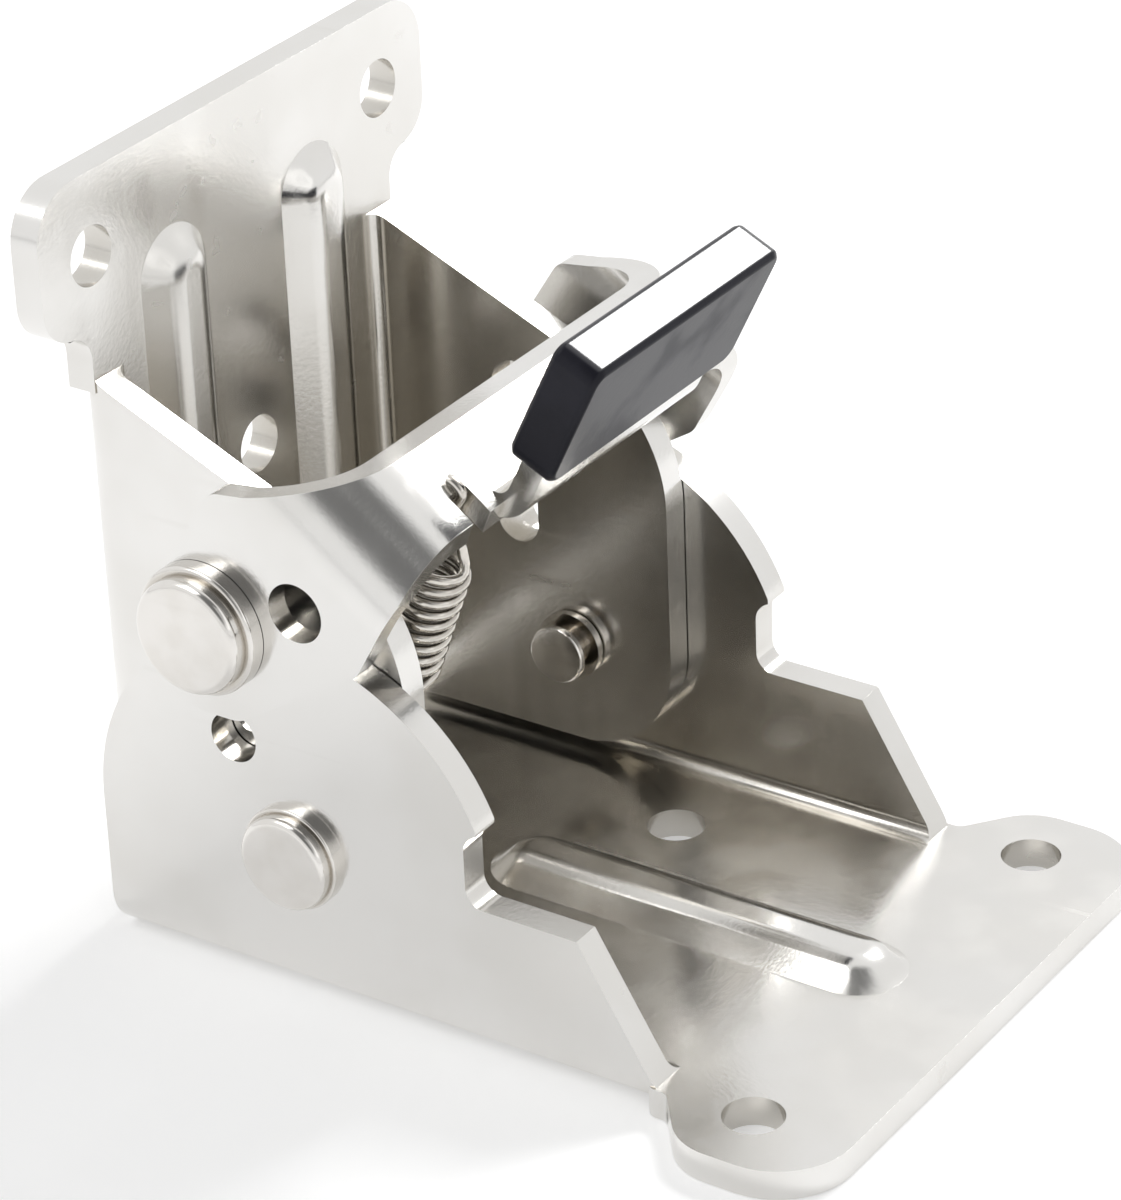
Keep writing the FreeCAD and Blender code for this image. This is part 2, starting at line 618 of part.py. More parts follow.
def main():
    os.makedirs("parts", exist_ok=True)
    nodes = {
        "table_bracket": table_bracket(),
        "leg_bracket": leg_bracket(),
        "pivot_rivet_near": pivot_rivet(-1),
        "pivot_rivet_far": pivot_rivet(1),
        "lock_rivet_near": lock_rivet(-1),
        "lock_rivet_far": lock_rivet(1),
        "lock_lever": lock_lever(),
        "lever_grip": lever_grip(),
        "lever_spring": lever_spring(),
    }
    for name, shape in nodes.items():
        print(name, shape.ShapeType, len(shape.Solids), shape.isValid(), round(shape.Volume, 1))
        shape.exportStep("parts/" + name + ".step")


main()
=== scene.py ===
"""Dresses the folding table leg bracket: plated sheet, rivets, spring wire and plastic grip."""

import logging
import math
from dataclasses import dataclass
from enum import Enum, IntEnum

import bmesh
import bpy
from mathutils import Matrix, Vector

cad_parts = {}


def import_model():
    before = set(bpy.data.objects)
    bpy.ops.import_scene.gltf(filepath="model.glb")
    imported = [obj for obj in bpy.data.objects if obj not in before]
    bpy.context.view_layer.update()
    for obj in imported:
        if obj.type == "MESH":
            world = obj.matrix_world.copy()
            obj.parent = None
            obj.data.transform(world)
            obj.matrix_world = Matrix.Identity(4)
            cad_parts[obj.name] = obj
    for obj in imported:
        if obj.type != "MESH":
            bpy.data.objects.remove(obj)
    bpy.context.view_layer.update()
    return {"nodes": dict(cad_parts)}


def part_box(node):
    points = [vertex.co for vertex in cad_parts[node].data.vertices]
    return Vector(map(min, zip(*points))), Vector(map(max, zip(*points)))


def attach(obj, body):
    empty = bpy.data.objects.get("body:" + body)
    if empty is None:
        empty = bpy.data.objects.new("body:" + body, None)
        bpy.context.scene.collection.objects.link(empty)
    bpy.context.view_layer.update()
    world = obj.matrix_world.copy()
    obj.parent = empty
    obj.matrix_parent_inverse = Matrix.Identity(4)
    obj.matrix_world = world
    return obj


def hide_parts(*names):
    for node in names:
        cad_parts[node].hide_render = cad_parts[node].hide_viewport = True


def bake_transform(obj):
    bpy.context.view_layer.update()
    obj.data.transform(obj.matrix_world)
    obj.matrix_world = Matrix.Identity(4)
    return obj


LOG = logging.getLogger("leg_bracket")
MM = 0.001
MERGE_DISTANCE = 1e-6
FLAT_ANGLE = math.radians(0.4)
SHARP_ANGLE = math.radians(50)
ACROSS_AXIS = (0.0, 1.0, 0.0)
WHOLE = (0.0, 1.0)
WHITE = (1.0, 1.0, 1.0)

Triple = tuple[float, float, float]
Span = tuple[float, float]
Profile = list[tuple[float, float]]


class Body(Enum):
    """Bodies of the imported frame."""

    TABLE = "table_side"
    LEG = "leg_side"
    PINS = "lock_pins"
    LEVER = "lever"


class Side(Enum):
    """Side of the bracket, as the sign of y."""

    NEAR = -1
    FAR = 1


class Axis(IntEnum):
    """Row axis, as its index in a vector."""

    X = 0
    Y = 1
    Z = 2


@dataclass(frozen=True)
class Rim:
    """Small round put on the sharp edges of a piece.

    Attributes:
        width: Width of the round in metres.
        segments: Number of faces across the round.
        angle: Smallest angle between faces that is rounded, in radians.
    """

    width: float
    segments: int = 2
    angle: float = math.radians(38)


def add_object(name: str, data: bpy.types.ID) -> bpy.types.Object:
    """Adds an object to the scene.

    Args:
        name: Name of the object.
        data: Its mesh, curve, lamp or camera.

    Returns:
        The new object.
    """
    added = bpy.data.objects.new(name, data)
    bpy.context.scene.collection.objects.link(added)
    return added


def link(name: str, bm: bmesh.types.BMesh) -> bpy.types.Object:
    """Turns a bmesh into an object at the origin.

    Args:
        name: Name of the object.
        bm: Mesh in row coordinates, freed here.

    Returns:
        The new object.
    """
    mesh = bpy.data.meshes.new(name)
    bm.to_mesh(mesh)
    bm.free()
    return add_object(name, mesh)


def shade_smooth(piece: bpy.types.Object) -> None:
    """Shades every face of a piece smooth.

    Args:
        piece: Object to shade.
    """
    for polygon in piece.data.polygons:
        polygon.use_smooth = True


def smooth(piece: bpy.types.Object) -> None:
    """Shades a piece smooth and keeps its true corners sharp.

    Args:
        piece: Object to shade.
    """
    shade_smooth(piece)
    piece.data.set_sharp_from_angle(angle=SHARP_ANGLE)


def soften(piece: bpy.types.Object, rim: Rim) -> None:
    """Rounds a piece's sharp edges and shades it smooth, with its flat faces kept flat.

    Args:
        piece: Object to finish.
        rim: Size of the round.
    """
    shade_smooth(piece)
    bevel = piece.modifiers.new("rim", "BEVEL")
    bevel.width = rim.width
    bevel.segments = rim.segments
    bevel.limit_method = "ANGLE"
    bevel.angle_limit = rim.angle
    bevel.miter_outer = "MITER_ARC"
    bevel.use_clamp_overlap = True
    normals = piece.modifiers.new("flat_faces", "WEIGHTED_NORMAL")
    normals.mode = "FACE_AREA"
    normals.weight = 100
    normals.keep_sharp = True


def joined_copy(node: bpy.types.Object) -> bmesh.types.BMesh:
    """Copies a CAD node's mesh and joins its loose triangles.

    Args:
        node: CAD node to copy.

    Returns:
        A mesh with merged vertices and flat areas made into single faces.
    """
    bm = bmesh.new()
    bm.from_mesh(node.data)
    bmesh.ops.remove_doubles(bm, verts=bm.verts, dist=MERGE_DISTANCE)
    bmesh.ops.dissolve_limit(
        bm, angle_limit=FLAT_ANGLE, verts=bm.verts, edges=bm.edges, delimit=set()
    )
    return bm


def spun(profile: Profile, centre: Vector, steps: int) -> bmesh.types.BMesh:
    """Turns a profile into a closed round body about an axis across the bracket.

    Args:
        profile: Points as (radius, y) in metres, from one end of the axis to the other.
        centre: Point on the axis; its y is ignored.
        steps: Number of faces round the axis.

    Returns:
        The spun mesh in row coordinates.
    """
    bm = bmesh.new()
    verts = [bm.verts.new((centre.x + radius, y, centre.z)) for radius, y in profile]
    edges = [bm.edges.new(pair) for pair in zip(verts, verts[1:])]
    bmesh.ops.spin(
        bm,
        geom=verts + edges,
        cent=(centre.x, 0.0, centre.z),
        axis=ACROSS_AXIS,
        angle=2 * math.pi,
        steps=steps,
        use_merge=True,
    )
    bmesh.ops.remove_doubles(bm, verts=bm.verts, dist=MERGE_DISTANCE)
    bmesh.ops.recalc_face_normals(bm, faces=bm.faces)
    return bm


@dataclass(frozen=True)
class Noise:
    """One noise pattern.

    Attributes:
        scale: Scale in patterns a metre, as a number or socket.
        detail: Amount of finer noise in it.
        stretch: Scale of the coordinates along each axis, for drawn-out grain.
    """

    scale: float | bpy.types.NodeSocket
    detail: float
    stretch: Triple | None = None


class Nodes:
    """Helper that adds and links shader nodes in one tree.

    The Mix node's colour sockets share their names with its other kinds, so they go by place.
    """

    MIX_FACTOR = 0
    MIX_COLOURS = (6, 7)
    MIX_RESULT = 2

    def __init__(self, tree: bpy.types.NodeTree) -> None:
        """Keeps the tree that nodes are added to.

        Args:
            tree: Node tree of a material, a world or a group.
        """
        self.tree = tree

    def add(self, kind: str, **values: object) -> bpy.types.Node:
        """Adds a node and sets its properties.

        Args:
            kind: Type name of the node.
            **values: Properties of the node.

        Returns:
            The new node.
        """
        node = self.tree.nodes.new(kind)
        for name, value in values.items():
            setattr(node, name, value)
        return node

    def put(self, given: object, target: bpy.types.NodeSocket) -> None:
        """Links a socket to an input, or sets the input to a plain value.

        Args:
            given: Socket, number, vector or colour.
            target: Input that gets it.
        """
        if isinstance(given, bpy.types.NodeSocket):
            self.tree.links.new(given, target)
        else:
            target.default_value = given

    def maths(self, operation: str, first: object, second: object) -> bpy.types.NodeSocket:
        """Adds a Math node.

        Args:
            operation: Name of the operation.
            first: Socket or number.
            second: Socket or number.

        Returns:
            The node's output.
        """
        node = self.add("ShaderNodeMath", operation=operation)
        self.put(first, node.inputs[0])
        self.put(second, node.inputs[1])
        return node.outputs[0]

    def weighted(self, *parts: tuple[bpy.types.NodeSocket, float]) -> bpy.types.NodeSocket:
        """Adds up values, each times its weight.

        Args:
            *parts: Values with their weights.

        Returns:
            The sum.
        """
        shares = [self.maths("MULTIPLY", value, weight) for value, weight in parts]
        total = shares[0]
        for share in shares[1:]:
            total = self.maths("ADD", total, share)
        return total

    def spread(
        self, value: bpy.types.NodeSocket, span: Span, onto: tuple[object, object] = WHOLE
    ) -> bpy.types.NodeSocket:
        """Maps a value smoothly from one range onto another.

        Args:
            value: Socket to map.
            span: Values at which the result reaches its two ends.
            onto: The two ends, as numbers or sockets.

        Returns:
            The mapped value.
        """
        node = self.add("ShaderNodeMapRange", interpolation_type="SMOOTHSTEP")
        names = ("Value", "From Min", "From Max", "To Min", "To Max")
        for name, given in zip(names, (value, *span, *onto)):
            self.put(given, node.inputs[name])
        return node.outputs["Result"]

    def noise(self, where: bpy.types.NodeSocket, pattern: Noise) -> bpy.types.NodeSocket:
        """Adds a noise pattern.

        Args:
            where: Coordinates.
            pattern: Scale, detail and stretch.

        Returns:
            The noise value.
        """
        if pattern.stretch is not None:
            mapping = self.add("ShaderNodeMapping")
            mapping.inputs["Scale"].default_value = pattern.stretch
            self.put(where, mapping.inputs["Vector"])
            where = mapping.outputs["Vector"]
        node = self.add("ShaderNodeTexNoise")
        self.put(pattern.scale, node.inputs["Scale"])
        self.put(pattern.detail, node.inputs["Detail"])
        self.put(where, node.inputs["Vector"])
        return node.outputs["Fac"]

    def blend(self, amount: bpy.types.NodeSocket, first: object, second: object) -> bpy.types.NodeSocket:
        """Mixes two colours.

        Args:
            amount: Mix factor.
            first: Colour or socket at 0.
            second: Colour or socket at 1.

        Returns:
            The mixed colour.
        """
        node = self.add("ShaderNodeMix", data_type="RGBA")
        self.put(amount, node.inputs[self.MIX_FACTOR])
        for place, colour in zip(self.MIX_COLOURS, (first, second)):
            self.put(colour, node.inputs[place])
        return node.outputs[self.MIX_RESULT]

    def facing(self, direction: bpy.types.NodeSocket, way: Triple) -> bpy.types.NodeSocket:
        """Tells how closely a direction points one way.

        Args:
            direction: Unit vector.
            way: The other unit vector.

        Returns:
            Their dot product.
        """
        node = self.add("ShaderNodeVectorMath", operation="DOT_PRODUCT")
        self.put(direction, node.inputs[0])
        node.inputs[1].default_value = way
        return node.outputs["Value"]

    def relief(self, height: bpy.types.NodeSocket, strength: float, depth: float) -> bpy.types.NodeSocket:
        """Turns a height into a fine surface relief.

        Args:
            height: Height between 0 and 1.
            strength: Share of the relief that shows.
            depth: Depth of the relief in metres.

        Returns:
            The normal of the surface.
        """
        node = self.add("ShaderNodeBump")
        node.inputs["Strength"].default_value = strength
        node.inputs["Distance"].default_value = depth
        self.put(height, node.inputs["Height"])
        return node.outputs["Normal"]


def rgba(colour: Triple) -> tuple[float, float, float, float]:
    """Adds full alpha to a colour.

    Args:
        colour: Red, green and blue.

    Returns:
        The same with alpha.
    """
    return (*colour, 1.0)


def blank_material(name: str) -> tuple[bpy.types.Material, Nodes, bpy.types.Node]:
    """Makes a material with nodes.

    Args:
        name: Name of the material.

    Returns:
        The material, the helper for its nodes and its shader.
    """
    material = bpy.data.materials.new(name)
    material.use_nodes = True
    tree = material.node_tree
    return material, Nodes(tree), tree.nodes["Principled BSDF"]


@dataclass(frozen=True)
class PlatedSurface:
    """Pattern of plated steel that the sheet, the rivets and the wire share, with painted shade in its
    folds.

    Attributes:
        cloud_detail: Amount of finer noise in the clouds, whose scale each finish gives.
        cloud_span: Noise values between which a cloud fades in.
        grain: Mill grain, drawn out upwards.
        grain_span: Noise values between which a line of grain fades in.
        scratch: Fine handling marks, drawn out lengthwise.
        scratch_span: Noise values between which a mark fades in.
        fine: Texture of the plate itself.
        dark_cloud: Share of the clouds in the duller colour.
        dark_marks: Share of the marks in the duller colour.
        rough_cloud: Share of the clouds in the roughness.
        rough_grain: Share of the grain in the roughness.
        rough_marks: Roughness that a mark adds.
        high_fine: Share of the texture in the height.
        high_grain: Share of the grain in the height.
        high_cloud: Share of the clouds in the height.
        painted_shade_reach: Distance in metres within which nearby walls darken a spot with painted
            shade.
        painted_shade_rays: Rays that tell how enclosed a spot is, for the painted shade.
        painted_shade_span: Openness at which a spot has the full painted shade colour and at which it has
            none of it.
    """

    cloud_detail: float = 4.0
    cloud_span: Span = (0.35, 0.68)
    grain: Noise = Noise(160.0, 3.0, (1.0, 1.0, 0.06))
    grain_span: Span = (0.42, 0.62)
    scratch: Noise = Noise(420.0, 2.0, (0.05, 1.0, 1.0))
    scratch_span: Span = (0.66, 0.74)
    fine: Noise = Noise(2600.0, 2.0)
    dark_cloud: float = 0.6
    dark_marks: float = 0.4
    rough_cloud: float = 0.6
    rough_grain: float = 0.4
    rough_marks: float = 0.12
    high_fine: float = 0.45
    high_grain: float = 0.3
    high_cloud: float = 0.2
    painted_shade_reach: float = 45.0 * MM
    painted_shade_rays: int = 3
    painted_shade_span: Span = (0.3, 0.9)

    def build(self) -> bpy.types.NodeTree:
        """Builds the node group.

        Returns:
            Group with the outputs Colour, Roughness and Height.
        """
        tree = bpy.data.node_groups.new("plated_surface", "ShaderNodeTree")
        for way, kind, names in (
            ("INPUT", "NodeSocketFloat", ("Cloud Scale", "Roughness Low", "Roughness High", "Marks")),
            ("INPUT", "NodeSocketColor", ("Metal", "Shade", "Recess")),
            ("OUTPUT", "NodeSocketColor", ("Colour",)),
            ("OUTPUT", "NodeSocketFloat", ("Roughness", "Height")),
        ):
            for name in names:
                tree.interface.new_socket(name=name, in_out=way, socket_type=kind)
        kit = Nodes(tree)
        given = kit.add("NodeGroupInput").outputs
        result = kit.add("NodeGroupOutput").inputs
        where = kit.add("ShaderNodeTexCoord").outputs["Object"]
        cloud = kit.noise(where, Noise(given["Cloud Scale"], self.cloud_detail))
        grain = kit.noise(where, self.grain)
        cloudy = kit.spread(cloud, self.cloud_span)
        scratches = kit.spread(kit.noise(where, self.scratch), self.scratch_span)
        marks = kit.maths("MULTIPLY", scratches, given["Marks"])
        kit.put(self._colour(kit, given, cloudy, marks), result["Colour"])
        lines = kit.spread(grain, self.grain_span)
        rough = kit.weighted((cloudy, self.rough_cloud), (lines, self.rough_grain))
        rough = kit.spread(rough, WHOLE, (given["Roughness Low"], given["Roughness High"]))
        added = kit.maths("MULTIPLY", marks, self.rough_marks)
        kit.put(kit.maths("ADD", rough, added), result["Roughness"])
        fine = kit.noise(where, self.fine)
        height = kit.weighted((fine, self.high_fine), (grain, self.high_grain), (cloud, self.high_cloud))
        kit.put(height, result["Height"])
        return tree

    def _colour(
        self,
        kit: Nodes,
        given: bpy.types.NodeOutputs,
        cloudy: bpy.types.NodeSocket,
        marks: bpy.types.NodeSocket,
    ) -> bpy.types.NodeSocket:
        """Mixes clean plate, duller plate and painted shade, a darker colour laid where walls close round
        a spot in the folds.

        Args:
            kit: Helper for the group's nodes.
            given: The group's inputs.
            cloudy: How far a spot lies in a cloud.
            marks: How far a spot lies in a handling mark.

        Returns:
            The colour of the plate.
        """
        dark = kit.weighted((cloudy, self.dark_cloud), (marks, self.dark_marks))
        plated = kit.blend(dark, given["Metal"], given["Shade"])
        # Painted shade: the plate darkens towards the recess colour where the piece's own walls close
        # round a spot.
        shade_occlusion = kit.add("ShaderNodeAmbientOcclusion", samples=self.painted_shade_rays, only_local=True)
        shade_occlusion.inputs["Distance"].default_value = self.painted_shade_reach
        painted_shade_amount = kit.spread(shade_occlusion.outputs["AO"], self.painted_shade_span, (1.0, 0.0))
        return kit.blend(painted_shade_amount, plated, given["Recess"])


@dataclass(frozen=True)
class PlatedSteel:
    """Bright nickel plate over steel.

    Attributes:
        name: Material name.
        metal: Reflected colour of clean plate.
        shade: Reflected colour of the duller clouds.
        recess: Painted shade colour, laid deep inside the folds in place of the shade there.
        rough: Lowest and highest roughness.
        cloud_scale: Noise scale of the clouds, in patterns a metre.
        marks: Strength of the fine handling marks.
        relief_depth: Depth of the surface relief, in metres.
        relief_strength: Share of the relief that shows.
    """

    name: str
    metal: Triple
    shade: Triple
    recess: Triple
    rough: Span
    cloud_scale: float
    marks: float
    relief_depth: float
    relief_strength: float = 0.35

    def build(self, surface: bpy.types.NodeTree) -> bpy.types.Material:
        """Makes the material.

        Args:
            surface: Node group of plated steel.

        Returns:
            The finished material.
        """
        material, kit, shader = blank_material(self.name)
        shader.inputs["Metallic"].default_value = 1.0
        plate = kit.add("ShaderNodeGroup", node_tree=surface)
        for name, value in (
            ("Cloud Scale", self.cloud_scale),
            ("Roughness Low", self.rough[0]),
            ("Roughness High", self.rough[1]),
            ("Marks", self.marks),
            ("Metal", rgba(self.metal)),
            ("Shade", rgba(self.shade)),
            ("Recess", rgba(self.recess)),
        ):
            plate.inputs[name].default_value = value
        kit.put(plate.outputs["Colour"], shader.inputs["Base Color"])
        kit.put(plate.outputs["Roughness"], shader.inputs["Roughness"])
        normal = kit.relief(plate.outputs["Height"], self.relief_strength, self.relief_depth)
        kit.put(normal, shader.inputs["Normal"])
        return material


@dataclass(frozen=True)
class SleevePlastic:
    """Satin plastic of the grip, with an edge that fingers have polished.

    Attributes:
        name: Material name.
        colour: Main colour.
        worn: Colour of the slightly dusty patches.
        rough: Lowest and highest roughness.
        gloss: Strength of the reflections.
        polish: Roughness of the polished edge.
        rubbed_way: Way that the polished edge faces, as a unit vector.
        rubbed_span: Closeness to that way between which the polish fades in.
        patches: Noise of the patches.
        patch_span: Noise values between which a patch fades in.
        texture: Noise of the moulded texture.
        relief_depth: Depth of the texture, in metres.
        relief_strength: Share of the texture that shows.
    """

    name: str
    colour: Triple
    worn: Triple
    rough: Span
    gloss: float = 0.15
    polish: float = 0.14
    rubbed_way: Triple = (0.438, 0.0, 0.899)
    rubbed_span: Span = (0.86, 0.96)
    patches: Noise = Noise(140.0, 4.0)
    patch_span: Span = (0.4, 0.7)
    texture: Noise = Noise(3200.0, 2.0)
    relief_depth: float = 0.03 * MM
    relief_strength: float = 0.3

    def build(self) -> bpy.types.Material:
        """Makes the material.

        Returns:
            The finished material.
        """
        material, kit, shader = blank_material(self.name)
        shader.inputs["Specular IOR Level"].default_value = self.gloss
        shader.inputs["Coat Roughness"].default_value = self.polish
        place = kit.add("ShaderNodeTexCoord").outputs
        patches = kit.spread(kit.noise(place["Object"], self.patches), self.patch_span)
        kit.put(kit.blend(patches, rgba(self.colour), rgba(self.worn)), shader.inputs["Base Color"])
        kit.put(kit.spread(patches, WHOLE, self.rough), shader.inputs["Roughness"])
        rubbed = kit.spread(kit.facing(place["Normal"], self.rubbed_way), self.rubbed_span)
        kit.put(rubbed, shader.inputs["Coat Weight"])
        texture = kit.noise(place["Object"], self.texture)
        kit.put(kit.relief(texture, self.relief_strength, self.relief_depth), shader.inputs["Normal"])
        return material


class Finishes:
    """All the materials of the bracket."""

    def __init__(self) -> None:
        """Builds each material once."""
        surface = PlatedSurface().build()
        self.sheet = PlatedSteel(
            name="plated_sheet",
            metal=(0.765, 0.755, 0.735),
            shade=(0.70, 0.685, 0.655),
            # Painted shade colour for the inside of the folds.
            recess=(0.47, 0.44, 0.385),
            rough=(0.16, 0.26),
            cloud_scale=75.0,
            marks=0.5,
            relief_depth=0.04 * MM,
        ).build(surface)
        self.rivet = PlatedSteel(
            name="plated_rivet",
            metal=(0.75, 0.73, 0.70),
            shade=(0.68, 0.655, 0.615),
            # Painted shade colour for the inside of the folds.
            recess=(0.36, 0.32, 0.26),
            rough=(0.13, 0.2),
            cloud_scale=300.0,
            marks=0.4,
            relief_depth=0.02 * MM,
        ).build(surface)
        self.wire = PlatedSteel(
            name="spring_wire",
            metal=(0.68, 0.65, 0.60),
            shade=(0.50, 0.47, 0.43),
            # Painted shade colour for the inside of the folds.
            recess=(0.30, 0.28, 0.25),
            rough=(0.14, 0.24),
            cloud_scale=700.0,
            marks=0.3,
            relief_depth=0.02 * MM,
        ).build(surface)
        self.sleeve = SleevePlastic(
            name="grip_sleeve",
            colour=(0.012, 0.012, 0.018),
            worn=(0.02, 0.02, 0.028),
            rough=(0.28, 0.4),
        ).build()


def dress(
    piece: bpy.types.Object, material: bpy.types.Material, body: Body, node: str
) -> None:
    """Gives a piece its material and body, and hides the CAD node it stands for.

    Args:
        piece: Finished piece.
        material: Its material.
        body: Body it rides on.
        node: CAD node it stands for.
    """
    piece.data.materials.append(material)
    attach(piece, body.value)
    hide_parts(node)
    LOG.info("%s rides on %s, %d faces", piece.name, body.value, len(piece.data.polygons))


@dataclass(frozen=True)
class PressedRib:
    """Soft crest of a rib pressed into a plate.

    Attributes:
        across: Axis that points out of the plate.
        crest: Coordinate of the crest along that axis, in metres.
        sideways: Axis across the rib.
        middle: Coordinate of the rib's middle line along that axis.
        reach: Distance from the middle line within which the crest lies, in metres.
        softness: Width of the round on the crest, in metres, the widest that the rib's ends take.
        rounding: Number of faces across the round.
        fold: Smallest angle between faces that is rounded, in radians.
        match: Distance within which a point counts as on the crest, in metres.
    """

    across: Axis
    crest: float
    sideways: Axis
    middle: float
    reach: float = 2.2 * MM
    softness: float = 0.9 * MM
    rounding: int = 5
    fold: float = math.radians(15)
    match: float = 0.01 * MM

    def on_crest(self, vert: bmesh.types.BMVert) -> bool:
        """Tells whether a vertex lies on the crest.

        Args:
            vert: Vertex of the sheet.

        Returns:
            True on the crest.
        """
        near = abs(vert.co[self.across] - self.crest) < self.match
        return near and abs(vert.co[self.sideways] - self.middle) < self.reach

    def soften(self, bm: bmesh.types.BMesh) -> None:
        """Rounds the crest's edges.

        Args:
            bm: Mesh of the sheet.
        """
        edges = [
            edge
            for edge in bm.edges
            if len(edge.link_faces) == 2
            and edge.calc_face_angle(0.0) > self.fold
            and all(self.on_crest(vert) for vert in edge.verts)
        ]
        LOG.info("rib crest at %.4f: %d edges", self.crest, len(edges))
        bmesh.ops.bevel(
            bm,
            geom=edges,
            offset=self.softness,
            offset_type="OFFSET",
            segments=self.rounding,
            profile=0.5,
            affect="EDGES",
            clamp_overlap=False,
            material=-1,
        )


@dataclass
class FoldedSheets:
    """The three folded sheet pieces, with the small round that punching leaves on their edges.

    Attributes:
        nodes: CAD nodes by name.
        edge_round: Width of the round on the edges.
        sheet: Thickness of the two brackets' sheet.
        rib_height: Height of a rib above the sheet.
        leg_rib_y: Distance of the leg bracket's ribs from its middle.
    """

    nodes: dict[str, bpy.types.Object]
    edge_round: float = 0.2 * MM
    sheet: float = 2.5 * MM
    rib_height: float = 1.9 * MM
    leg_rib_y: float = 8.9 * MM

    def ribs(self, node: str) -> list[PressedRib]:
        """Lists the ribs of a sheet.

        Args:
            node: CAD node.

        Returns:
            Its ribs.
        """
        crest = self.sheet + self.rib_height
        if node == "table_bracket":
            return [PressedRib(across=Axis.Z, crest=crest, sideways=Axis.Y, middle=0.0)]
        if node == "leg_bracket":
            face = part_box(node)[0].x + crest
            middles = [side.value * self.leg_rib_y for side in Side]
            return [PressedRib(across=Axis.X, crest=face, sideways=Axis.Y, middle=y) for y in middles]
        return []

    def build(self, finishes: Finishes) -> None:
        """Builds the table bracket, the leg bracket and the lever.

        Args:
            finishes: Materials.
        """
        for node, body in (
            ("table_bracket", Body.TABLE),
            ("leg_bracket", Body.LEG),
            ("lock_lever", Body.LEVER),
        ):
            bm = joined_copy(self.nodes[node])
            for rib in self.ribs(node):
                rib.soften(bm)
            piece = link(f"{node}_sheet", bm)
            soften(piece, Rim(self.edge_round))
            dress(piece, finishes.sheet, body, node)


@dataclass
class Grip:
    """Plastic sleeve on the lever's tab.

    Attributes:
        nodes: CAD nodes by name.
        edge: Round on its edges.
    """

    nodes: dict[str, bpy.types.Object]
    edge: Rim = Rim(width=0.35 * MM, segments=3, angle=math.radians(25))

    def build(self, finishes: Finishes) -> None:
        """Builds the sleeve.

        Args:
            finishes: Materials.
        """
        piece = link("grip_sleeve", joined_copy(self.nodes["lever_grip"]))
        soften(piece, self.edge)
        dress(piece, finishes.sleeve, Body.LEVER, "lever_grip")


